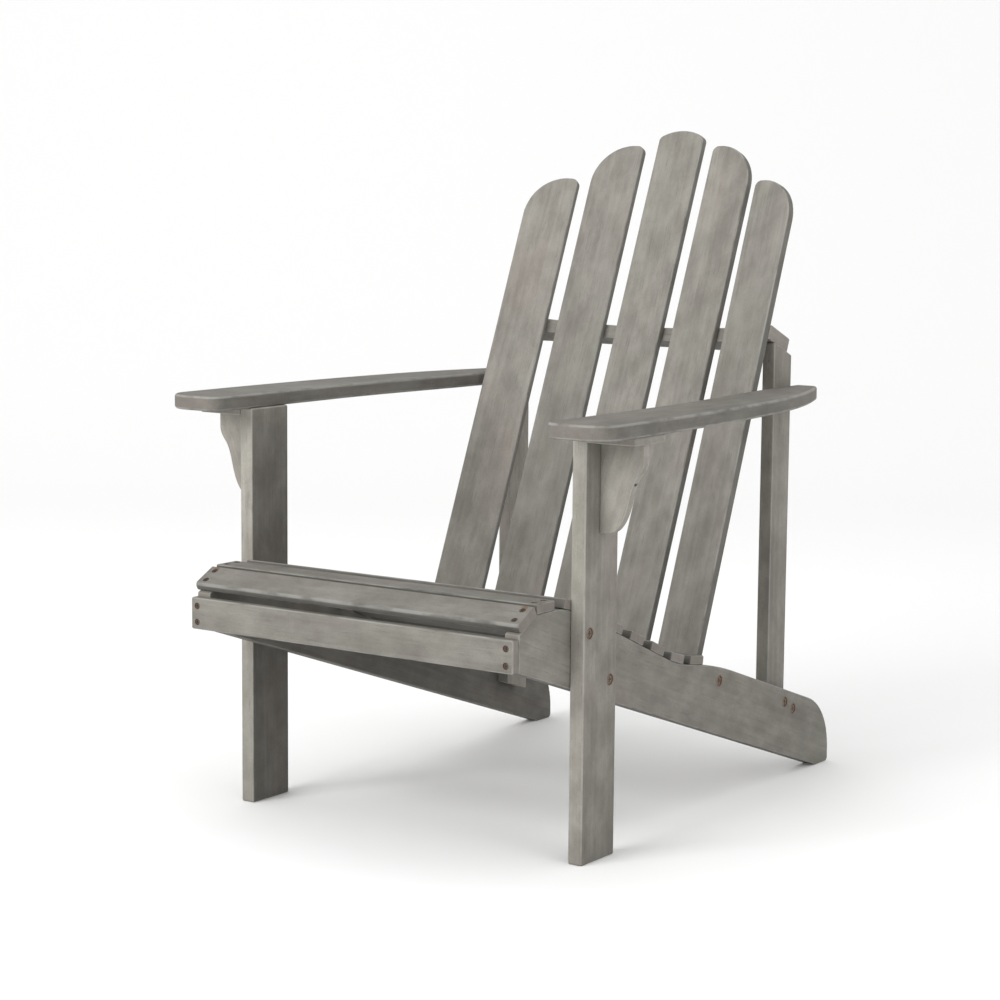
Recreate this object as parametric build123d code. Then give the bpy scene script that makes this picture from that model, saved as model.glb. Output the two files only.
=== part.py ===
from build123d import *
import os
from math import asin, cos, degrees, radians, sin, tan

# Adirondack chair, millimetres, +Z up.
# The sitter faces -Y, and the sitter's left hand is on the +X side.
# The origin is on the floor, under the middle of the whole chair.

# ---- board stock ----
heavy = 21.0                # legs, arms, brackets and back rails
side_board = 22.0           # stringers
post_board = 20.0           # rear posts
light = 13.0                # seat slats, back slats and apron
soft_edge = 2.0             # rounding on every sawn edge
arm_edge = 4.0              # the arms are rounded more, where hands rest

# ---- frame, measured from the front faces of the stringers ----
half_seat = 259.0           # middle of the chair to the outer face of a stringer
leg_front, leg_width = 112.0, 76.5
arm_underside = 546.0
post_front, post_width = 668.0, 50.0
post_inset = 45.0           # lower end of a post, above the stringer's lower edge
post_outer = half_seat - side_board

# ---- stringer outline, side view (y, z) ----
stringer_front_low = 262.5
stringer_fall = 18.55       # degrees that the lower edge drops towards the back
foot_start = stringer_front_low / tan(radians(stringer_fall))
stringer_end = 818.5
end_radius, heel_radius = 90.0, 6.0
seat_front_height = 329.5
front_flat_end = 76.0       # level part of the seat line
knee_radius, seat_fall = 150.0, 23.0
dip_start, dip_radius, dip_fall = 350.0, 255.0, 9.5
tail_start, tail_radius = 440.0, 570.0

# ---- seat ----
nose_slope = 28.0
nose_width = 40.0
nose_rear = 37.4            # where the nose slat's lower rear edge rests
front_slat_start, front_slat_width = 37.6, 40.0
slat_start, slat_width, slat_pitch = 96.5, 36.0, 52.0
small_slats = 7
apron_low, apron_high = 262.5, 305.0

# ---- back, in a frame that leans with it ----
# v runs up the slats and n runs rearwards, both from a point on the front face
# of the middle slat; the rails are arcs, so the outer slats stand further forward.
back_lean = 22.53
back_y, back_z = 496.2, 195.0
back_slat_width = 76.5
back_slat_low = -40.0
# how far each pair of slats stands from the middle, at v = 0 and at the upper rail
back_slat_offsets = {0: (0.0, 0.0), 1: (97.5, 97.8), 2: (194.3, 191.7)}
back_slat_tops = {-2: 710.0, -1: 770.5, 0: 796.5, 1: 770.5, 2: 710.0}
shoulder_radius, corner_radius, crown_drop = 64.0, 10.0, 11.0
lower_rail_v, lower_rail_rear, lower_rail_radius = -33.0, 35.0, 975.0
upper_rail_v, upper_rail_rear, upper_rail_radius = 468.0, 42.0, 764.0
upper_rail_half = 234.0

# ---- arms, plan view for the +X side ----
arm_board = 20.0
arm_front, arm_rear = 40.0, 736.0
arm_inner, arm_outer = 261.0, 354.0
arm_bend = 300.0            # the inner edge starts to curve towards the post here
arm_front_radius, arm_inner_radius, arm_rear_radius = 38.0, 20.0, 12.0
plate_thick, plate_depth = 10.0, 72.0
plate_outer = 350.0
bracket_outer, bracket_height = 344.0, 116.0

# ---- screws ----
small_head, small_shank = 7.6, 4.0
big_head, big_shank = 13.0, 6.0
head_height = 2.4
head_sunk = 1.0             # top of the head below the board's face
shank_clearance, head_clearance = 0.15, 0.35

sides = {"left": 1, "right": -1}
screw_lines = {}            # node name -> list of (location, length, head, shank, recess)

# The outline above starts at the stringers' front faces. Everything is moved
# by this much in Y at the end, so that the origin is under the middle.
front_reach = light
back_reach = stringer_end


def back_frame(x, v, n):
    """A point given in the leaning frame of the back."""
    lean = radians(back_lean)
    return Vector(x, back_y + v * sin(lean) + n * cos(lean), back_z + v * cos(lean) - n * sin(lean))


def rail_front(x, radius):
    """How far the slats' front faces lie behind the middle one, at x, on an arc of this radius."""
    return -x * x / (2 * radius)


def seat_line(y):
    """Height and downward slope in degrees of the stringer's top edge at y."""
    knee_end = front_flat_end + knee_radius * sin(radians(seat_fall))
    if y <= front_flat_end:
        return seat_front_height, 0.0
    if y <= knee_end:
        fall = asin((y - front_flat_end) / knee_radius)
        return seat_front_height - knee_radius * (1 - cos(fall)), degrees(fall)
    steep = radians(seat_fall)
    shallow = radians(dip_fall)
    knee_z = seat_front_height - knee_radius * (1 - cos(steep))
    if y <= dip_start:
        return knee_z - (y - knee_end) * tan(steep), seat_fall
    dip_z = knee_z - (dip_start - knee_end) * tan(steep)
    dip_end = dip_start + dip_radius * (sin(steep) - sin(shallow))
    if y <= dip_end:
        fall = asin(sin(steep) - (y - dip_start) / dip_radius)
        return dip_z - dip_radius * (cos(fall) - cos(steep)), degrees(fall)
    dip_end_z = dip_z - dip_radius * (cos(shallow) - cos(steep))
    return dip_end_z - (y - dip_end) * tan(shallow), dip_fall


def board(x0, x1, y0, y1, z0, z1, rounding=soft_edge):
    """A straight board between two corners, with all its edges rounded."""
    block = Pos((x0 + x1) / 2, (y0 + y1) / 2, (z0 + z1) / 2) * Box(x1 - x0, y1 - y0, z1 - z0)
    return fillet(block.edges(), rounding)


def soften(solid, rounding=soft_edge):
    """Round all the edges of a sawn board."""
    return fillet(solid.edges(), rounding)


def stringer_outline():
    """Side view of a stringer as a face in the YZ plane."""
    knee_end = front_flat_end + knee_radius * sin(radians(seat_fall))
    nose_rise = nose_rear * tan(radians(nose_slope))
    front = Polyline((foot_start, 0), (0, stringer_front_low), (0, seat_front_height - nose_rise),
                     (nose_rear, seat_front_height), (front_flat_end, seat_front_height))
    knee = JernArc(front @ 1, (1, 0), knee_radius, -seat_fall)
    slope = Line(knee @ 1, (dip_start, seat_line(dip_start)[0]))
    dip = JernArc(slope @ 1, slope % 1, dip_radius, seat_fall - dip_fall)
    shallow = Line(dip @ 1, (tail_start, seat_line(tail_start)[0]))
    tail = JernArc(shallow @ 1, shallow % 1, tail_radius, dip_fall - stringer_fall)
    fall = radians(stringer_fall)
    end_start = stringer_end - end_radius * (1 - sin(fall))
    run = end_start - (tail @ 1).X
    top = Line(tail @ 1, (end_start, (tail @ 1).Y - run * tan(fall)))
    end = JernArc(top @ 1, top % 1, end_radius, stringer_fall - 90)
    drop = Line(end @ 1, (stringer_end, heel_radius))
    heel = JernArc(drop @ 1, (0, -1), heel_radius, -90)
    foot = Line(heel @ 1, (foot_start, 0))
    return make_face([front, knee, slope, dip, shallow, tail, top, end, drop, heel, foot])


def stringer(side):
    """One side rail, from the seat's nose down to the floor at the back."""
    slab = extrude(Plane.YZ * stringer_outline(), side_board)
    slab = Pos(post_outer, 0, 0) * soften(slab)
    return slab if side > 0 else mirror(slab, Plane.YZ)


def seat_slat_location(y_front, width):
    """Where a seat slat lies: its lower face follows the stringers under its middle."""
    height, fall = seat_line(y_front + width / 2)
    return Pos(0, y_front + width / 2, height) * Rot(-fall, 0, 0)


def seat_slat_places():
    """Location and width of every seat slat, from the nose to the back."""
    slope = radians(nose_slope)
    middle_y = nose_rear - nose_width / 2 * cos(slope)
    middle_z = seat_front_height - nose_width / 2 * sin(slope)
    places = [(Pos(0, middle_y, middle_z) * Rot(nose_slope, 0, 0), nose_width)]
    places.append((seat_slat_location(front_slat_start, front_slat_width), front_slat_width))
    for number in range(small_slats):
        start = slat_start + slat_pitch * number
        places.append((seat_slat_location(start, slat_width), slat_width))
    return places


def seat_slat(place, width, front_rounding=soft_edge):
    """A slat across both stringers, in its place."""
    slat = Pos(0, 0, light / 2) * Box(2 * half_seat, width, light)
    front_edges = slat.edges().filter_by(Axis.X).group_by(Axis.Y)[0]
    if front_rounding > soft_edge:
        slat = fillet(front_edges, front_rounding)
        slat = fillet(slat.edges().filter_by(Axis.X).group_by(Axis.Y)[-1], soft_edge)
        return place * slat
    return place * soften(slat)


def apron():
    """The upright board across the stringers' front ends."""
    return board(-half_seat + 0.5, half_seat - 0.5, -light, 0, apron_low, apron_high, 2.5)


def front_leg(side):
    """Upright board on the outer face of a stringer, from the floor to the arm."""
    inner, outer = half_seat, half_seat + heavy
    leg = board(inner, outer, leg_front, leg_front + leg_width, 0, arm_underside, 2.5)
    return leg if side > 0 else mirror(leg, Plane.YZ)


def post_top(y):
    """Height of the post's sloped top, which the upper rail lies on."""
    lean = radians(back_lean)
    n = (y - back_y - upper_rail_v * sin(lean)) / cos(lean)
    return back_z + upper_rail_v * cos(lean) - n * sin(lean)


def rear_post(side):
    """Upright board on the inner face of a stringer, carrying the arm and the upper rail."""
    fall = tan(radians(stringer_fall))
    rear = post_front + post_width
    low = stringer_front_low - post_front * fall + post_inset
    outline = Polyline((post_front, low), (rear, low - post_width * fall), (rear, post_top(rear)),
                       (post_front, post_top(post_front)), close=True)
    post = extrude(Plane.YZ * make_face(outline), post_board)
    post = Pos(post_outer - post_board, 0, 0) * soften(post)
    return post if side > 0 else mirror(post, Plane.YZ)


def arm_outline():
    """Plan view of the +X arm: wide in front of the leg, tapering to the post."""
    outer = Line((arm_outer, arm_front), (arm_outer, arm_front + 90))
    curve = Spline(outer @ 1, (350, 300), (339, 450), (313, 610), (270, arm_rear),
                   tangents=[(0, 1), (-0.42, 1)])
    rear = Line(curve @ 1, (post_outer, arm_rear))
    beside_post = Line(rear @ 1, (post_outer, post_front - 10))
    sweep = Spline(beside_post @ 1, (arm_inner, arm_bend), tangents=[(0.03, -1), (0, -1)])
    inner = Line(sweep @ 1, (arm_inner, arm_front))
    front = Line(inner @ 1, outer @ 0)
    face = make_face([outer, curve, rear, beside_post, sweep, inner, front])
    corners = face.vertices()
    front_outer = corners.sort_by_distance((arm_outer, arm_front, 0))[0]
    face = fillet(front_outer, arm_front_radius)
    front_inner = face.vertices().sort_by_distance((arm_inner, arm_front, 0))[0]
    face = fillet(front_inner, arm_inner_radius)
    rear_outer = face.vertices().sort_by_distance(curve @ 1)[0]
    return fillet(rear_outer, arm_rear_radius)


def arm(side):
    """A paddle-shaped arm on top of the leg, beside the post."""
    slab = Pos(0, 0, arm_underside) * extrude(arm_outline(), arm_board)
    slab = soften(slab, arm_edge)
    return slab if side > 0 else mirror(slab, Plane.YZ)


def arm_plate(side):
    """Thin packing block between the arm and its bracket."""
    plate = board(half_seat + heavy, plate_outer, leg_front, leg_front + plate_depth,
                  arm_underside - plate_thick, arm_underside, 1.5)
    return plate if side > 0 else mirror(plate, Plane.YZ)


def arm_bracket(side):
    """S-curved bracket that stands out from the middle of the leg's face, under the plate."""
    leg_face = half_seat + heavy
    top = arm_underside - plate_thick
    across = Line((leg_face, top), (bracket_outer, top))
    lip = Line(across @ 1, (bracket_outer, top - 20))
    sweep = Spline(lip @ 1, (332, top - 45), (323, top - 70), (314, top - 97),
                   (294, top - bracket_height + 1), tangents=[(0, -1), (-1, -0.1)])
    toe = Line(sweep @ 1, (leg_face, top - bracket_height))
    back = Line(toe @ 1, across @ 0)
    face = make_face([across, lip, sweep, toe, back])
    bracket = extrude(Plane.XZ * face, -light)
    bracket = Pos(0, leg_front + (leg_width - light) / 2, 0) * soften(bracket, 1.5)
    return bracket if side > 0 else mirror(bracket, Plane.YZ)


def back_slat_plane(number):
    """Plane on a back slat's front face: x across it, y up it, z towards the sitter."""
    low_x, high_x = back_slat_offsets[abs(number)]
    if number < 0:
        low_x, high_x = -low_x, -high_x
    low = back_frame(low_x, 0, rail_front(low_x, lower_rail_radius))
    high = back_frame(high_x, upper_rail_v, rail_front(high_x, upper_rail_radius))
    axis = (high - low).normalized()
    turn = (low_x / lower_rail_radius + high_x / upper_rail_radius) / 2
    rearward = back_frame(0, 0, 1) - back_frame(0, 0, 0)
    across = Vector(1, 0, 0) * cos(turn) - rearward * sin(turn)
    across = (across - axis * across.dot(axis)).normalized()
    return Plane(origin=low, x_dir=across, z_dir=across.cross(axis))


def back_slat_outline(number):
    """Front view of a back slat; the outer ones are rounded on their outer side."""
    half = back_slat_width / 2
    top = back_slat_tops[number]
    if number == 0:
        shoulder = top - crown_drop
        sides = Polyline((-half, shoulder), (-half, back_slat_low), (half, back_slat_low), (half, shoulder))
        crown = ThreePointArc((half, shoulder), (0, top), (-half, shoulder))
        face = make_face([sides, crown])
        return fillet(face.vertices().group_by(Axis.Y)[-1], corner_radius)
    face = make_face(Polyline((-half, top), (-half, back_slat_low), (half, back_slat_low), (half, top),
                              close=True))
    outer = 1 if number > 0 else -1
    face = fillet(face.vertices().sort_by_distance((outer * half, top, 0))[0], shoulder_radius)
    return fillet(face.vertices().sort_by_distance((-outer * half, top, 0))[0], corner_radius)


def back_slat(number):
    """A back slat, screwed to the front of both rails."""
    slat = extrude(back_slat_outline(number), -light)
    return back_slat_plane(number) * soften(slat, 2.5)


def back_rail(v, rear, radius, half_length, rear_rounding):
    """A flat board across the back, with an arc cut in its front edge for the slats."""
    end_front = light + rail_front(half_length, radius)
    front = ThreePointArc((-half_length, end_front), (0, light), (half_length, end_front))
    rest = Polyline((half_length, end_front), (half_length, rear), (-half_length, rear),
                    (-half_length, end_front))
    face = make_face([front, rest])
    if rear_rounding:
        face = fillet(face.vertices().group_by(Axis.Y)[-1], rear_rounding)
    rail = soften(extrude(face, heavy))
    lean = radians(back_lean)
    return Plane(origin=back_frame(0, v, 0), x_dir=(1, 0, 0), z_dir=(0, sin(lean), cos(lean))) * rail


def screw(length, head, shank):
    """A screw along +Z, tip down: the underside of its head is at z = 0."""
    tip = shank
    body = Pos(0, 0, -(length - tip) / 2) * Cylinder(shank / 2, length - tip)
    body += Pos(0, 0, -length + tip / 2) * Cone(shank / 8, shank / 2, tip)
    cap = Pos(0, 0, head_height / 2) * Cylinder(head / 2, head_height)
    cap = fillet(cap.edges().group_by(Axis.Z)[-1], head_height / 3)
    slot = Box(head * 0.55, head * 0.14, head_height) + Box(head * 0.14, head * 0.55, head_height)
    return body + (cap - Pos(0, 0, head_height) * slot)


def screw_hole(length, head, shank, recess):
    """The hole that a screw and its sunk head need."""
    hole = Pos(0, 0, -(length + 1) / 2) * Cylinder(shank / 2 + shank_clearance, length + 1)
    depth = recess + head_height + head_sunk
    return hole + Pos(0, 0, depth / 2) * Cylinder(head / 2 + head_clearance, depth)


def drive(node, surface, direction, length, big=False, recess=0.0):
    """Place one screw whose head is sunk under this point of a board's face."""
    head, shank = (big_head, big_shank) if big else (small_head, small_shank)
    direction = Vector(*direction).normalized()
    seat = Vector(*surface) + direction * (recess + head_height + head_sunk)
    frame = Plane(origin=seat, z_dir=direction * -1)
    screw_lines.setdefault(node, []).append((frame.location, length, head, shank, recess))


def place_screws():
    """Every screw of the chair, by the joint that it holds."""
    leg_face = half_seat + heavy
    line = half_seat - side_board / 2
    for side in sides.values():
        for y, z in ((125, 296), (173.5, 230)):
            drive("leg_screws", (side * leg_face, y, z), (-side, 0, 0), 34, big=True)
        drive("lower_rail_screws", (side * half_seat, 489.5, 174), (-side, 0, 0), 50, big=True)
        for y, z in ((681, 112), (706, 98)):
            drive("rear_post_screws", (side * half_seat, y, z), (-side, 0, 0), 34, big=True)
        for z in (294, 272.5):
            drive("apron_screws", (side * line, -light, z), (0, 1, 0), 38)
        for z, x, length in ((486, 329, 52), (447, 316, 41)):
            y = leg_front + leg_width / 2
            drive("bracket_screws", (side * x, y, z), (-side, 0, 0), length, recess=1.5)
        for x, y in ((298, leg_front + 14), (332, leg_front + 58)):
            drive("arm_plate_screws", (side * x, y, arm_underside - plate_thick), (0, 0, 1), 20)
        for y in (680, 706):
            inner = side * (post_outer - post_board)
            drive("arm_post_screws", (inner, y, arm_underside + arm_board / 2), (side, 0, 0), 32)
        for n in (4, 30):
            rail_top = back_frame(side * (post_outer - post_board / 2), upper_rail_v + heavy, n)
            down = back_frame(0, 0, 0) - back_frame(0, 1, 0)
            drive("upper_rail_screws", tuple(rail_top), tuple(down), 42)
    for number, (place, width) in enumerate(seat_slat_places()):
        node = "nose_slat_screws" if number == 0 else "seat_slat_screws"
        for x in (-line, line):
            for across in (-width / 4, width / 4):
                top = place * Pos(x, across, light)
                down = Plane(top).z_dir * -1
                drive(node, tuple(top.position), tuple(down), 24)
    for number in back_slat_tops:
        plane = back_slat_plane(number)
        x = back_slat_offsets[abs(number)][1]
        for node, v, rear, radius, length in (
                ("upper_rail_slat_screws", upper_rail_v + heavy / 2, upper_rail_rear, upper_rail_radius, 36),
                ("lower_rail_slat_screws", lower_rail_v + heavy / 2, lower_rail_rear, lower_rail_radius, 28)):
            depth = (rear - light - rail_front(x, radius)) / cos(x / radius)
            start = plane * Pos(0, v, -light - depth)
            recess = depth + 9 - length - head_height - head_sunk
            drive(node, tuple(start.position), tuple(plane.z_dir), length, recess=max(recess, -head_sunk))


def drill(solid, *nodes):
    """Cut the holes of the named screws out of a board."""
    bounds = solid.bounding_box()
    for node in nodes:
        for place, length, head, shank, recess in screw_lines[node]:
            hole = place * screw_hole(length, head, shank, recess)
            if bounds.overlaps(hole.bounding_box()):
                solid = solid - hole
    return solid


def save(name, solids):
    """Move a node to the chair's origin and write it."""
    shift = Pos(0, (front_reach - back_reach) / 2, 0)
    solids = [shift * solid for solid in solids]
    shape = solids[0] if len(solids) == 1 else Compound(children=solids)
    shape.label = name
    export_step(shape, f"parts/{name}.step")
    print(f"{name}: {len(solids)} solid(s), {sum(solid.volume for solid in solids):.0f} mm3")


def build():
    os.makedirs("parts", exist_ok=True)
    place_screws()
    places = seat_slat_places()
    seat = [seat_slat(place, width, 5.0 if number == 0 else soft_edge)
            for number, (place, width) in enumerate(places)]
    back = {number: back_slat(number) for number in back_slat_tops}
    rails = {
        "upper_back_rail": back_rail(upper_rail_v, upper_rail_rear, upper_rail_radius, upper_rail_half, 9.0),
        "lower_back_rail": back_rail(lower_rail_v, lower_rail_rear, lower_rail_radius, post_outer, 0.0),
    }
    seat_block = [place * (Pos(0, 0, light / 2) * Box(2 * half_seat, width, light))
                  for place, width in places]
    for name, rail in rails.items():
        for number in back_slat_tops:
            half = back_slat_width / 2
            flat = Polyline((-half, -80), (half, -80), (half, 600), (-half, 600), close=True)
            rail = rail - back_slat_plane(number) * extrude(make_face(flat), -light)
        rails[name] = drill(rail, name.replace("_back", "") + "_slat_screws",
                            name.replace("_back", "") + "_screws")
        save(name, [rails[name]])
    for name, side in sides.items():
        rail = stringer(side)
        for block in seat_block:
            rail = rail - block
        rail = drill(rail, "leg_screws", "lower_rail_screws", "rear_post_screws", "apron_screws",
                     "nose_slat_screws", "seat_slat_screws")
        save(f"stringer_{name}", [rail])
        save(f"front_leg_{name}", [drill(front_leg(side), "leg_screws", "bracket_screws")])
        save(f"rear_post_{name}", [drill(rear_post(side), "rear_post_screws", "arm_post_screws",
                                         "upper_rail_screws")])
        save(f"arm_{name}", [drill(arm(side), "arm_plate_screws", "arm_post_screws")])
        save(f"arm_plate_{name}", [drill(arm_plate(side), "arm_plate_screws")])
        save(f"arm_bracket_{name}", [drill(arm_bracket(side), "bracket_screws")])
    save("front_apron", [drill(apron(), "apron_screws")])
    for number, slat in enumerate(seat):
        node = "nose_slat_screws" if number == 0 else "seat_slat_screws"
        save(f"seat_slat_{number + 1}", [drill(slat, node)])
    for number, slat in back.items():
        save(f"back_slat_{number + 3}", [drill(slat, "upper_rail_slat_screws", "lower_rail_slat_screws")])
    for node, lines in screw_lines.items():
        save(node, [place * screw(length, head, shank) for place, length, head, shank, recess in lines])


build()
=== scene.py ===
# %% [markdown]
# # A weathered adirondack chair
#
# This chair is nothing but boards and screws. The boards already have their
# true shapes, holes and rounded edges, so the work here is the surface:
# hardwood that has stood outdoors until it turned silver grey.
#
# We start by loading the chair, and we count its parts before we add
# anything to it.

# %% Load the chair
import math

import bmesh
import bpy
from mathutils import Matrix, Vector


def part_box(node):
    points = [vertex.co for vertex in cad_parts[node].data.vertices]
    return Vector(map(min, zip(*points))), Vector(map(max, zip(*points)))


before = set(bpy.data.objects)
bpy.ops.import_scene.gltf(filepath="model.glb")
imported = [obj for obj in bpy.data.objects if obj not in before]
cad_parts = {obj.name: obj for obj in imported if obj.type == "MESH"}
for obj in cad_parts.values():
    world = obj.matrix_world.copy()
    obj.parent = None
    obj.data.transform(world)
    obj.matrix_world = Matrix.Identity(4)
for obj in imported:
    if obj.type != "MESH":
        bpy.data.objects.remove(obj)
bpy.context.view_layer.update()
print("boards and fasteners:", len(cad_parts))


# %% [markdown]
# ## The view
#
# A chair looks right when the camera stands about three metres away at the
# height of a person's chest. From there the legs hardly taper, and the seat
# is seen from slightly above. A long lens keeps the arms from bulging.

# %% Camera
camera_data = bpy.data.cameras.new("portrait_lens")
camera_data.lens = 89.63
camera_data.sensor_width = 36.0
camera_data.clip_end = 60.0
camera = bpy.data.objects.new("camera", camera_data)
bpy.context.scene.collection.objects.link(camera)

camera_spot = Vector((1.9304, -2.8522, 0.8606))
turn_left, look_down, roll = (math.radians(a) for a in (34.789, 7.413, 0.493))
aim = (
    Matrix.Rotation(turn_left, 4, "Z")
    @ Matrix.Rotation(math.pi / 2 - look_down, 4, "X")
    @ Matrix.Rotation(roll, 4, "Z")
)
camera.matrix_world = Matrix.Translation(camera_spot) @ aim
bpy.context.scene.camera = camera
print("camera is", round(camera_spot.length, 2), "m from the chair's foot")


# %% [markdown]
# ## The studio
#
# A studio for products has a sweep: a sheet of white paper that runs along
# the floor and curves up behind the object, so no horizon shows. A short
# outline, stretched sideways, is enough to make one.

# %% White sweep
sweep_start, sweep_end, sweep_height, sweep_half = -30.0, 6.0, 7.0, 30.0
sweep_bend = 3.0


def sweep_outline(steps=24):
    """Side view of the paper: floor, quarter circle, wall."""
    points = [(sweep_start, 0.0)]
    for i in range(steps + 1):
        a = math.pi / 2 * i / steps
        points.append((sweep_end - sweep_bend + sweep_bend * math.sin(a), sweep_bend * (1 - math.cos(a))))
    points.append((sweep_end, sweep_height))
    return points


def make_sweep():
    """The sheet of paper, as a smooth strip turned to face the camera."""
    mesh = bpy.data.meshes.new("white_sweep")
    bm = bmesh.new()
    rows = []
    for y, z in sweep_outline():
        rows.append([bm.verts.new((x, y, z)) for x in (-sweep_half, sweep_half)])
    for low, high in zip(rows, rows[1:]):
        bm.faces.new((low[0], low[1], high[1], high[0]))
    bmesh.ops.rotate(bm, verts=bm.verts, matrix=Matrix.Rotation(turn_left, 3, "Z"))
    bm.to_mesh(mesh)
    bm.free()
    mesh.polygons.foreach_set("use_smooth", [True] * len(mesh.polygons))
    return bpy.data.objects.new("white_sweep", mesh)


def paper_material():
    """Matt white paper with the faintest mottling."""
    material = bpy.data.materials.new("sweep_paper")
    material.use_nodes = True
    nodes, links = material.node_tree.nodes, material.node_tree.links
    shader = nodes["Principled BSDF"]
    shader.inputs["Roughness"].default_value = 0.9
    shader.inputs["Specular IOR Level"].default_value = 0.1
    noise = nodes.new("ShaderNodeTexNoise")
    noise.inputs["Scale"].default_value = 1.5
    ramp = nodes.new("ShaderNodeValToRGB")
    ramp.color_ramp.elements[0].color = (0.90, 0.90, 0.895, 1)
    ramp.color_ramp.elements[1].color = (0.93, 0.93, 0.93, 1)
    links.new(noise.outputs["Fac"], ramp.inputs["Fac"])
    links.new(ramp.outputs["Color"], shader.inputs["Base Color"])
    return material


sweep = make_sweep()
sweep.data.materials.append(paper_material())
bpy.context.scene.collection.objects.link(sweep)
print("sweep is", 2 * sweep_half, "m wide")


# %% [markdown]
# ## Light
#
# Soft light suits weathered wood, because hard light would turn every pore
# into a scratch. One large lamp stands to the front left and above, a weaker
# one fills from the right, and the white room does the rest.

# %% Lamps and room
room = bpy.data.worlds.new("white_room")
bpy.context.scene.world = room
room.use_nodes = True
room.node_tree.nodes["Background"].inputs["Color"].default_value = (1.0, 1.0, 1.0, 1)
room.node_tree.nodes["Background"].inputs["Strength"].default_value = 0.88
bpy.context.scene.view_settings.view_transform = "Standard"


def soft_lamp(name, spot, target, size, power):
    """A square lamp that faces a target."""
    data = bpy.data.lights.new(name, "AREA")
    data.shape = "SQUARE"
    data.size = size
    data.energy = power
    lamp = bpy.data.objects.new(name, data)
    lamp.location = spot
    lamp.rotation_euler = (Vector(target) - Vector(spot)).to_track_quat("-Z", "Y").to_euler()
    bpy.context.scene.collection.objects.link(lamp)
    return lamp


middle = Vector((0.0, 0.0, 0.45))
soft_lamp("key_lamp", (-1.2, -4.4, 2.6), middle, 2.6, 150)
soft_lamp("fill_lamp", (4.4, -1.0, 2.2), middle, 2.4, 30)
soft_lamp("top_lamp", (0.0, 0.4, 4.6), middle, 3.2, 20)


# %% [markdown]
# ## Which way the grain runs
#
# Grain follows the length of a board, never the whole chair. So every board
# needs its own axes: length, width and thickness. We read them from the
# board's shape. The direction in which its points spread most is its length,
# and the least is its thickness.

# %% Board axes
def spread(points, middle_point):
    """Sum of outer products: it is large in the directions in which the points spread."""
    m = Matrix(((0, 0, 0), (0, 0, 0), (0, 0, 0)))
    for p in points:
        d = p - middle_point
        for i in range(3):
            for j in range(3):
                m[i][j] += d[i] * d[j]
    return m


def strongest(matrix, start):
    """The direction that a matrix stretches most, found by applying it again and again."""
    v = Vector(start).normalized()
    for _ in range(60):
        v = (matrix @ v).normalized()
    return v


def board_axes(node):
    """Length, width and thickness directions of a board, and its middle."""
    low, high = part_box(node)
    middle_point = (Vector(low) + Vector(high)) / 2
    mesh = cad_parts[node].data
    points = [v.co.copy() for v in mesh.vertices]
    m = spread(points, middle_point)
    along = strongest(m, (0.31, 0.27, 0.91))
    size = (m @ along).length
    rest = m.copy()
    for i in range(3):
        for j in range(3):
            rest[i][j] -= size * along[i] * along[j]
    across = strongest(rest, (0.57, 0.61, 0.23))
    across = (across - along * across.dot(along)).normalized()
    return along, across, along.cross(across), middle_point


print("apron length runs along", [round(c, 2) for c in board_axes("front_apron")[0]])


# %% [markdown]
# ## Node helpers
#
# A shader is a small machine of nodes and wires. These helpers keep the
# recipes below short: one adds a node and fills in its settings, and the
# other makes a group with named sockets that every material can share.

# %% Helpers for nodes
def add(tree, kind, inputs=None, **settings):
    """A node of this kind. Inputs may be numbers, or sockets to wire in."""
    node = tree.nodes.new(kind)
    for key, value in settings.items():
        setattr(node, key, value)
    for key, value in (inputs or {}).items():
        if isinstance(value, bpy.types.NodeSocket):
            tree.links.new(value, node.inputs[key])
        else:
            node.inputs[key].default_value = value
    return node


def maths(tree, operation, first, second=0.0, third=0.0, clamp=False):
    """The result of one sum on two or three values."""
    node = add(tree, "ShaderNodeMath", {0: first, 1: second, 2: third}, operation=operation)
    node.use_clamp = clamp
    return node.outputs[0]


def smooth_step(tree, value, low, high):
    """0 below low, 1 above high, and smooth between."""
    node = add(tree, "ShaderNodeMapRange", {"Value": value, "From Min": low, "From Max": high},
               interpolation_type="SMOOTHSTEP")
    return node.outputs[0]


def mix_colour(tree, factor, first, second, blend="MIX"):
    """One colour laid over another."""
    node = add(tree, "ShaderNodeMix", {"Factor": factor, 6: first, 7: second},
               data_type="RGBA", blend_type=blend)
    return node.outputs[2]


def dot_product(tree, first, second):
    """How far one direction points along another: 1 with it, 0 across it."""
    node = add(tree, "ShaderNodeVectorMath", {0: first, 1: second}, operation="DOT_PRODUCT")
    return node.outputs["Value"]


def new_group(name, inputs, outputs):
    """A node group with named sockets, given as (name, kind) or (name, kind, value)."""
    tree = bpy.data.node_groups.new(name, "ShaderNodeTree")
    for entry in inputs:
        socket = tree.interface.new_socket(name=entry[0], in_out="INPUT", socket_type="NodeSocket" + entry[1])
        if len(entry) > 2:
            socket.default_value = entry[2]
    for label, kind in outputs:
        tree.interface.new_socket(name=label, in_out="OUTPUT", socket_type="NodeSocket" + kind)
    return tree, tree.nodes.new("NodeGroupInput"), tree.nodes.new("NodeGroupOutput")


# %% [markdown]
# ## Grain
#
# Flat-sawn hardwood shows three things at once. Wide, soft streaks follow the
# growth rings. Short, dark pores are scattered along them. And the light
# wood wanders a little, so no streak is straight. All three are noise that is
# squeezed across the board, and they differ only in how hard it is squeezed.

# %% Grain group
def squeeze(tree, place, along, across, through):
    """Scale a board's coordinates by its length, width and thickness."""
    node = add(tree, "ShaderNodeVectorMath", {0: place, 1: (along, across, through)}, operation="MULTIPLY")
    return node.outputs[0]


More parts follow.
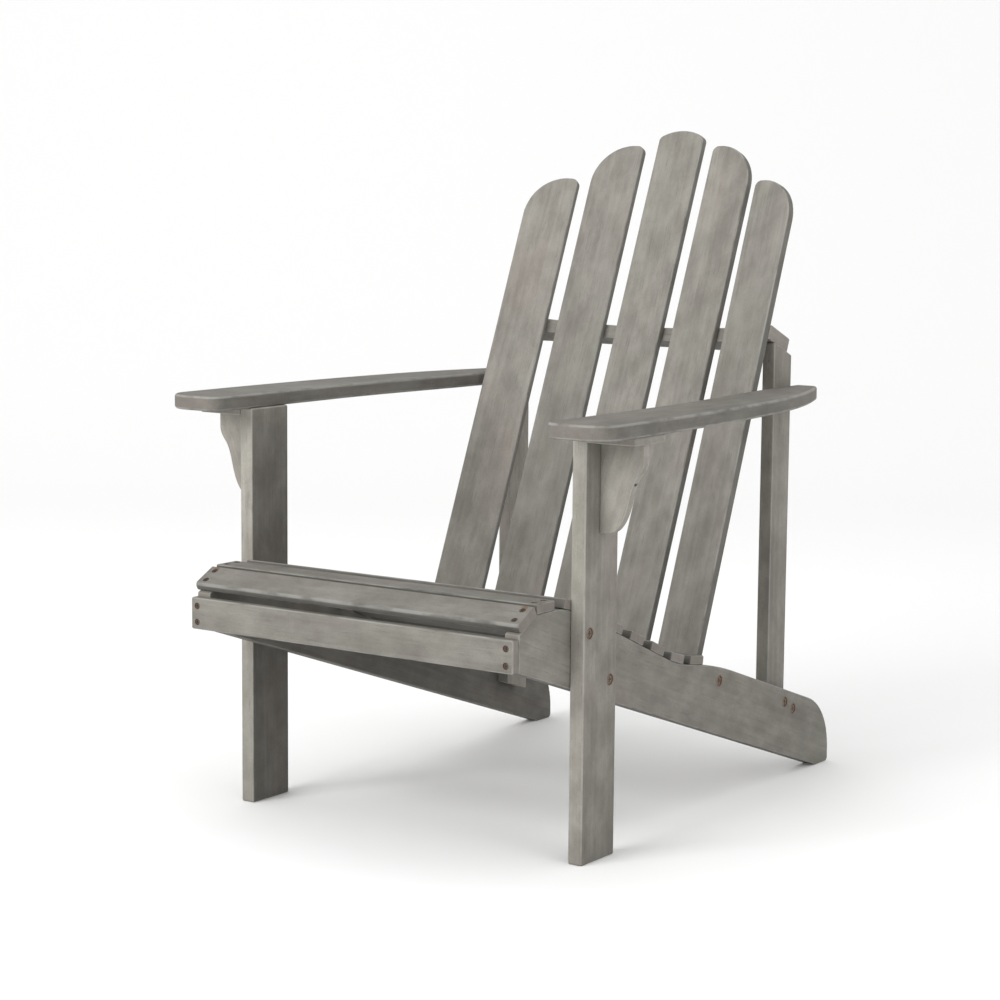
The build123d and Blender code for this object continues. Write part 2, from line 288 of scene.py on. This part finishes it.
def noise(tree, place, scale=1.0, detail=3.0, roughness=0.55):
    """Soft noise from 0 to 1 at a scaled place."""
    settings = {"Vector": place, "Scale": scale, "Detail": detail, "Roughness": roughness}
    return add(tree, "ShaderNodeTexNoise", settings).outputs["Fac"]


def make_grain_group():
    """Masks for streaks, rings and pores from a place on the board in metres."""
    tree, given, result = new_group(
        "timber grain",
        [("Place", "Vector"), ("Waviness", "Float", 0.012)],
        [("Streaks", "Float"), ("Rings", "Float"), ("Pores", "Float")],
    )
    place = given.outputs["Place"]
    slow = squeeze(tree, place, 3.0, 9.0, 9.0)
    wander = add(tree, "ShaderNodeTexNoise", {"Vector": slow, "Scale": 1.0, "Detail": 1.0})
    centred = add(tree, "ShaderNodeVectorMath", {0: wander.outputs["Color"], 1: (0.5, 0.5, 0.5)},
                  operation="SUBTRACT").outputs[0]
    shift = add(tree, "ShaderNodeVectorMath", {0: centred, "Scale": given.outputs["Waviness"]},
                operation="SCALE").outputs[0]
    bent = add(tree, "ShaderNodeVectorMath", {0: place, 1: shift}, operation="ADD").outputs[0]

    streaks = noise(tree, squeeze(tree, bent, 4.0, 130.0, 130.0), detail=4.0, roughness=0.6)
    wide = noise(tree, squeeze(tree, bent, 3.0, 20.0, 20.0), detail=3.0)
    clouds = noise(tree, squeeze(tree, bent, 22.0, 34.0, 34.0), detail=5.0, roughness=0.6)
    ring_settings = {"Vector": squeeze(tree, bent, 0.55, 26.0, 9.0), "Scale": 1.0,
                     "Distortion": 6.0, "Detail": 2.0, "Detail Scale": 0.7}
    rings = add(tree, "ShaderNodeTexWave", ring_settings,
                bands_direction="Y", wave_profile="SAW").outputs["Fac"]
    pores = noise(tree, squeeze(tree, bent, 28.0, 620.0, 620.0), detail=2.0, roughness=0.6)

    blend = maths(tree, "MULTIPLY_ADD", wide, 0.27, maths(tree, "MULTIPLY", streaks, 0.20))
    blend = maths(tree, "MULTIPLY_ADD", clouds, 0.53, blend)
    tree.links.new(smooth_step(tree, blend, 0.33, 0.67), result.inputs["Streaks"])
    tree.links.new(rings, result.inputs["Rings"])
    tree.links.new(smooth_step(tree, pores, 0.58, 0.74), result.inputs["Pores"])
    return tree


grain_group = make_grain_group()
print("grain outputs:", [s.name for s in grain_group.interface.items_tree if s.in_out == "OUTPUT"])


# %% [markdown]
# ## Worn edges and painted highlights
#
# Hands and weather polish the rounded edges of a board, and they also catch
# the light, so they are painted a little paler than its faces: partly wear,
# partly painted highlight. On a rounded edge the surface points neither along
# the board's thickness nor straight across it. That is easy to test with the
# surface normal, and it follows curved outlines as well as straight ones. The
# same test finds the narrow sides, which get painted shade between slats and
# painted light on the legs, posts and arm plates, and the sawn ends, where
# the wood turns pinkish.

# %% Edge wear and painted highlight group
def make_wear_and_highlight_group():
    """Masks for the rounded edges (worn and painted highlight), the narrow sides and the sawn ends of a
    board.
    """
    tree, given, result = new_group(
        "worn and highlighted edges",
        [("Normal", "Vector"), ("Thickness axis", "Vector"), ("Length axis", "Vector"), ("Place", "Vector")],
        [("Wear and highlight", "Float"), ("Narrow side", "Float"), ("Sawn end", "Float")],
    )
    normal = given.outputs["Normal"]
    facing = maths(tree, "ABSOLUTE", dot_product(tree, normal, given.outputs["Thickness axis"]))
    off_face = maths(tree, "SUBTRACT", 1.0, smooth_step(tree, facing, 0.90, 0.995))
    # rounded edges: painted paler, partly as wear and partly as painted highlight
    wear_and_highlight = maths(tree, "MULTIPLY", off_face, smooth_step(tree, facing, 0.08, 0.45))
    patches = noise(tree, squeeze(tree, given.outputs["Place"], 25.0, 60.0, 60.0), detail=3.0)
    patches = smooth_step(tree, patches, 0.25, 0.62)
    tree.links.new(maths(tree, "MULTIPLY", wear_and_highlight, patches), result.inputs["Wear and highlight"])
    endways = maths(tree, "ABSOLUTE", dot_product(tree, normal, given.outputs["Length axis"]))
    sawn = smooth_step(tree, endways, 0.6, 0.95)
    tree.links.new(maths(tree, "SUBTRACT", off_face, sawn, clamp=True), result.inputs["Narrow side"])
    tree.links.new(sawn, result.inputs["Sawn end"])
    return tree


wear_and_highlight_group = make_wear_and_highlight_group()
print("worn and highlighted edges reads the normal against the board's thickness")


# %% [markdown]
# ## Painted shade
#
# The faces that look towards the middle of the chair low down, and the faces
# that look down at the ground, get painted shade: their colour is darkened
# (lightened, as painted light, where the tone is above one). The colour is
# also painted darker towards the bottom of the chair. Both are masks made
# from the surface normal and the place on the chair.

# %% Painted shade group
def make_painted_shade_group():
    """Brightness of a face, as painted shade: low where it faces inwards low down or faces down, and lower
    near the ground.
    """
    tree, given, result = new_group(
        "painted_shade",
        [("Normal", "Vector"), ("Position", "Vector"), ("Sheltered tone", "Float", 0.66)],
        [("Brightness", "Float")],
    )
    normal = add(tree, "ShaderNodeSeparateXYZ", {0: given.outputs["Normal"]})
    spot = add(tree, "ShaderNodeSeparateXYZ", {0: given.outputs["Position"]})
    outward = maths(tree, "MULTIPLY", normal.outputs["X"], maths(tree, "SIGN", spot.outputs["X"]))
    inward = smooth_step(tree, maths(tree, "MULTIPLY", outward, -1.0), 0.55, 0.95)
    low_part = maths(tree, "SUBTRACT", 1.0, smooth_step(tree, spot.outputs["Z"], 0.50, 0.58))
    inward = maths(tree, "MULTIPLY", inward, low_part)
    under = smooth_step(tree, maths(tree, "MULTIPLY", normal.outputs["Z"], -1.0), 0.35, 0.9)
    # painted shade: faces turned inwards low down, and faces turned down, get a darker colour (lighter, as
    # painted light, where the tone is above one)
    shaded_faces = maths(tree, "MAXIMUM", inward, under)
    loss = maths(tree, "SUBTRACT", 1.0, given.outputs["Sheltered tone"])
    face_shade = maths(tree, "SUBTRACT", 1.0, maths(tree, "MULTIPLY", shaded_faces, loss))
    # painted shade: the colour grows darker towards the bottom of the chair
    low_shade = maths(tree, "MULTIPLY_ADD", spot.outputs["Z"], 0.27, 0.84)
    tree.links.new(maths(tree, "MULTIPLY", face_shade, low_shade), result.inputs["Brightness"])
    return tree


painted_shade_group = make_painted_shade_group()
print("shelter group reads the normal and the height")


# %% [markdown]
# ## Silver-grey wood
#
# Rain and sun bleach the brown out of wood. What is left is a grey that
# leans to pink in dry places and to green where algae sat. The recipe starts
# from two greys mixed along the streaks, tints them in large slow patches,
# dims them with painted shade on inward and downward faces and towards the
# bottom, sets the narrow sides darker or lighter as painted shade and painted
# light, darkens the pores and pales the edges as wear and painted highlight.
# Every board is cut from another tree, so each gets its own tone and its own
# piece of the noise.

# %% Weathered wood group
def make_wood_group():
    """Colour, roughness and height of weathered wood at a place on a board."""
    tree, given, result = new_group(
        "weathered wood",
        [("Place", "Vector"), ("Position", "Vector"), ("Normal", "Vector"),
         ("Thickness axis", "Vector"), ("Length axis", "Vector"),
         ("Tone", "Float", 1.0), ("Side tone", "Float", 1.0), ("Sheltered tone", "Float", 0.66),
         ("Pale grey", "Color", (0.262, 0.250, 0.224, 1)), ("Dark grey", "Color", (0.150, 0.140, 0.122, 1))],
        [("Colour", "Color"), ("Roughness", "Float"), ("Height", "Float")],
    )
    place = given.outputs["Place"]
    grain = add(tree, "ShaderNodeGroup", {"Place": place}, node_tree=grain_group)
    axes = {socket: given.outputs[socket] for socket in ("Normal", "Thickness axis", "Length axis", "Place")}
    edges = add(tree, "ShaderNodeGroup", axes, node_tree=wear_and_highlight_group)
    spots = {socket: given.outputs[socket] for socket in ("Normal", "Position", "Sheltered tone")}
    painted_shade = add(tree, "ShaderNodeGroup", spots, node_tree=painted_shade_group)

    streaks, rings, pores = (grain.outputs[s] for s in ("Streaks", "Rings", "Pores"))
    depth = maths(tree, "MULTIPLY_ADD", rings, 0.10, maths(tree, "MULTIPLY", streaks, 0.85))
    colour = mix_colour(tree, depth, given.outputs["Dark grey"], given.outputs["Pale grey"])

    patches = noise(tree, squeeze(tree, place, 5.0, 11.0, 11.0), detail=2.0)
    green = maths(tree, "MULTIPLY", smooth_step(tree, patches, 0.50, 0.72), 0.30)
    pink = maths(tree, "MULTIPLY", smooth_step(tree, patches, 0.48, 0.28), 0.28)
    colour = mix_colour(tree, green, colour, (0.205, 0.212, 0.170, 1))
    colour = mix_colour(tree, pink, colour, (0.245, 0.205, 0.182, 1))

    sawn = maths(tree, "MULTIPLY", edges.outputs["Sawn end"], 0.40)
    colour = mix_colour(tree, sawn, colour, (0.245, 0.212, 0.188, 1))

    cloud = noise(tree, squeeze(tree, place, 9.0, 16.0, 16.0), detail=4.0)
    tone = maths(tree, "MULTIPLY", given.outputs["Tone"], maths(tree, "MULTIPLY_ADD", cloud, 0.40, 0.80))
    speckle = noise(tree, squeeze(tree, place, 420.0, 900.0, 900.0), detail=1.0)
    tone = maths(tree, "MULTIPLY", tone, maths(tree, "MULTIPLY_ADD", speckle, 0.30, 0.85))
    # painted shade on inward and downward faces, and darker towards the bottom
    tone = maths(tree, "MULTIPLY", tone, painted_shade.outputs["Brightness"])
    # narrow sides: painted shade between slats (tone below one), painted light on the legs' lit front faces
    # and other boards (tone above one)
    side_light_and_shade_gain = maths(tree, "SUBTRACT", given.outputs["Side tone"], 1.0)
    side_light_and_shade_gain = maths(tree, "MULTIPLY_ADD", side_light_and_shade_gain, edges.outputs["Narrow side"], 1.0)
    tone = maths(tree, "MULTIPLY", tone, side_light_and_shade_gain)
    tint = add(tree, "ShaderNodeCombineColor", {0: tone, 1: tone, 2: tone}).outputs[0]
    colour = mix_colour(tree, 1.0, colour, tint, "MULTIPLY")

    pore_depth = maths(tree, "MULTIPLY", pores, 0.30)
    colour = mix_colour(tree, pore_depth, colour, (0.070, 0.064, 0.055, 1))
    # the paler edges, partly wear and partly painted highlight, fade where painted shade falls
    wear_and_highlight_depth = maths(tree, "MULTIPLY", 0.50, painted_shade.outputs["Brightness"])
    wear_and_highlight = maths(tree, "MULTIPLY", edges.outputs["Wear and highlight"], wear_and_highlight_depth)
    colour = mix_colour(tree, wear_and_highlight, colour, (0.36, 0.352, 0.325, 1))
    tree.links.new(colour, result.inputs["Colour"])

    rough = maths(tree, "MULTIPLY_ADD", streaks, 0.10, 0.66)
    rough = maths(tree, "MULTIPLY_ADD", edges.outputs["Wear and highlight"], -0.10, rough)
    tree.links.new(rough, result.inputs["Roughness"])
    height = maths(tree, "MULTIPLY_ADD", pores, -0.8, streaks)
    tree.links.new(height, result.inputs["Height"])
    return tree


wood_group = make_wood_group()
print("wood group has", len(wood_group.nodes), "nodes")


# %% [markdown]
# ## Rust round the screws
#
# Rain reaches the heads of the screws that go in from outside, and each has
# bled a thin brown ring into the wood. A ring is a distance from a point, so
# we measure where each head is and let the colour fade out from there, with
# noise to make the stain uneven.

# %% Rust stain group
def make_rust_group():
    """A stain that is strong at one spot and gone a few millimetres away."""
    tree, given, result = new_group(
        "rust stain",
        [("Position", "Vector"), ("Spot", "Vector"), ("Reach", "Float", 0.010)],
        [("Stain", "Float")],
    )
    away = add(tree, "ShaderNodeVectorMath", {0: given.outputs["Position"], 1: given.outputs["Spot"]},
               operation="DISTANCE").outputs["Value"]
    ragged = noise(tree, given.outputs["Position"], scale=160.0, detail=3.0)
    away = maths(tree, "MULTIPLY", away, maths(tree, "MULTIPLY_ADD", ragged, 0.5, 0.75))
    ratio = maths(tree, "DIVIDE", away, given.outputs["Reach"])
    tree.links.new(maths(tree, "SUBTRACT", 1.0, smooth_step(tree, ratio, 0.68, 1.0)), result.inputs["Stain"])
    return tree


rust_group = make_rust_group()


def islands(node):
    """Boxes, as low and high corners, of the separate pieces in a node, such as a set of screws."""
    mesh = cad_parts[node].data
    bm = bmesh.new()
    bm.from_mesh(mesh)
    bmesh.ops.remove_doubles(bm, verts=bm.verts, dist=0.00001)
    seen, boxes = set(), []
    for start in bm.verts:
        if start.index in seen:
            continue
        stack, group = [start], []
        seen.add(start.index)
        while stack:
            vert = stack.pop()
            group.append(vert.co.copy())
            for edge in vert.link_edges:
                other = edge.other_vert(vert)
                if other.index not in seen:
                    seen.add(other.index)
                    stack.append(other)
        low = Vector([min(p[i] for p in group) for i in range(3)])
        high = Vector([max(p[i] for p in group) for i in range(3)])
        boxes.append((low, high))
    bm.free()
    return boxes


screw_sets = {name: islands(name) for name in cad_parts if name.endswith("_screws")}
print("screws in each set:", {name: len(spots) for name, spots in screw_sets.items()})


# %% [markdown]
# ## A material for every board
#
# One recipe, used once per board, with three things changed: the board's own
# axes, so that grain follows it; its tone, because boards are never the same
# grey; and an offset, so that no two boards repeat a pattern.

# %% Board material
# how far from the middle of a head each kind of screw stains the wood, in metres
outside_screws = {"leg_screws": 0.0095, "lower_rail_screws": 0.0100, "rear_post_screws": 0.0095,
                  "bracket_screws": 0.0058, "apron_screws": 0.0056, "nose_slat_screws": 0.0056,
                  "seat_slat_screws": 0.0054}


slack, head_sink = 0.002, 0.004


def stains_on(node):
    """Spots and reaches of the stains that fall on a board."""
    low, high = (Vector(c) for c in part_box(node))
    spots = []
    for name, reach in outside_screws.items():
        for screw_low, screw_high in screw_sets[name]:
            axis = max(range(3), key=lambda i: screw_high[i] - screw_low[i])
            for end in (screw_low, screw_high):
                spot = (screw_low + screw_high) / 2
                spot[axis] = end[axis]
                on_board = all(low[i] - slack <= spot[i] <= high[i] + slack for i in range(3))
                on_face = min(abs(spot[axis] - low[axis]), abs(spot[axis] - high[axis])) < head_sink
                if on_board and on_face:
                    spots.append((spot, reach))
    return spots


def board_material(node, tones, number):
    """Weathered wood whose grain runs along this board."""
    material = bpy.data.materials.new("wood_" + node)
    material.use_nodes = True
    tree = material.node_tree
    shader = tree.nodes["Principled BSDF"]
    along, across, through, middle_point = board_axes(node)

    geometry = add(tree, "ShaderNodeNewGeometry")
    texture = add(tree, "ShaderNodeTexCoord")
    position = texture.outputs["Object"]
    centred = add(tree, "ShaderNodeVectorMath", {0: position, 1: middle_point},
                  operation="SUBTRACT").outputs[0]
    parts = {i: dot_product(tree, centred, axis) for i, axis in enumerate((along, across, through))}
    place = add(tree, "ShaderNodeCombineXYZ", parts).outputs[0]
    offset = (number * 3.7, number * 1.3, number * 0.9)
    place = add(tree, "ShaderNodeVectorMath", {0: place, 1: offset}, operation="ADD").outputs[0]

    face_tone, side_light_and_shade, painted_shade_tone = tones
    wood = add(tree, "ShaderNodeGroup", {
        "Place": place, "Position": position, "Normal": geometry.outputs["Normal"],
        "Thickness axis": through, "Length axis": along,
        "Tone": face_tone, "Side tone": side_light_and_shade, "Sheltered tone": painted_shade_tone,
    }, node_tree=wood_group)

    colour = wood.outputs["Colour"]
    for spot, reach in stains_on(node):
        rust = add(tree, "ShaderNodeGroup", {"Position": position, "Spot": spot, "Reach": reach},
                   node_tree=rust_group)
        strength = maths(tree, "MULTIPLY", rust.outputs["Stain"], 0.75)
        colour = mix_colour(tree, strength, colour, (0.150, 0.080, 0.048, 1))
    tree.links.new(colour, shader.inputs["Base Color"])
    tree.links.new(wood.outputs["Roughness"], shader.inputs["Roughness"])
    shader.inputs["Specular IOR Level"].default_value = 0.25
    raised_grain = {"Strength": 0.35, "Distance": 0.0006, "Height": wood.outputs["Height"]}
    bump = add(tree, "ShaderNodeBump", raised_grain)
    tree.links.new(bump.outputs["Normal"], shader.inputs["Normal"])
    return material


# %% Tones of the boards
# each kind of board: tone of its faces, painted light and shade of its narrow sides, and painted shade of its
# faces turned inwards or down (above one, painted light)
board_tones = {
    "front_leg": (1.10, 1.30, 0.66),
    "stringer": (1.04, 0.95, 0.66),
    "rear_post": (1.16, 1.10, 1.20),
    "front_apron": (0.94, 0.80, 0.8),
    "seat_slat": (0.90, 0.58, 0.6),
    "back_slat": (1.00, 0.72, 0.9),
    "upper_back_rail": (1.10, 1.0, 0.9),
    "lower_back_rail": (0.9, 1.0, 0.8),
    "arm_plate": (1.15, 1.1, 0.8),
    "arm_bracket": (1.42, 1.0, 0.9),
    "arm_": (0.78, 0.95, 0.8),
}


def tones_of(node, number):
    """A board's tones: those of its kind, varied by a few percent from board to board."""
    kind = next(k for k in board_tones if node.startswith(k))
    face, side, shade_tone = board_tones[kind]
    return face * (1 + 0.045 * math.sin(number * 2.4)), side, shade_tone


boards = [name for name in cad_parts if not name.endswith("_screws")]
for number, name in enumerate(sorted(boards)):
    finish = board_material(name, tones_of(name, number), number + 1)
    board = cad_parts[name]
    board.data.materials.clear()
    board.data.materials.append(finish)
print("boards painted:", len(boards))


# %% [markdown]
# ## Screws
#
# The screws are cheap steel that has lost its plating. Dust and wood dye have
# settled on the big heads, so they are a dull greyish tan with rust at the
# rims, and only their crosses look dark. The small heads have rusted almost
# black. It is one recipe with a clean colour and a rusty colour to choose.

# %% Screw material
def screw_material(name, clean, rusty):
    """Dull steel with rust in patches, from its clean and its rusty colour."""
    material = bpy.data.materials.new(name)
    material.use_nodes = True
    tree = material.node_tree
    shader = tree.nodes["Principled BSDF"]
    position = add(tree, "ShaderNodeTexCoord").outputs["Object"]
    rust = smooth_step(tree, noise(tree, position, scale=420.0, detail=4.0), 0.38, 0.62)
    speckle = noise(tree, position, scale=1500.0, detail=2.0)
    colour = mix_colour(tree, rust, clean, rusty)
    colour = mix_colour(tree, maths(tree, "MULTIPLY", speckle, 0.4), colour, (0.060, 0.045, 0.034, 1))
    tree.links.new(colour, shader.inputs["Base Color"])
    metal = maths(tree, "MULTIPLY_ADD", rust, -0.25, 0.30)
    tree.links.new(metal, shader.inputs["Metallic"])
    tree.links.new(maths(tree, "MULTIPLY_ADD", rust, 0.25, 0.55), shader.inputs["Roughness"])
    bump = add(tree, "ShaderNodeBump", {"Strength": 0.4, "Distance": 0.0002, "Height": speckle})
    tree.links.new(bump.outputs["Normal"], shader.inputs["Normal"])
    return material


dusty_steel = screw_material("dusty_steel", (0.200, 0.178, 0.148, 1), (0.140, 0.085, 0.052, 1))
rusted_steel = screw_material("rusted_steel", (0.075, 0.066, 0.058, 1), (0.070, 0.044, 0.030, 1))
big_screws = {"leg_screws", "lower_rail_screws", "rear_post_screws"}
for name in screw_sets:
    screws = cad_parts[name]
    screws.data.materials.clear()
    screws.data.materials.append(dusty_steel if name in big_screws else rusted_steel)
print("screw sets painted:", len(screw_sets))
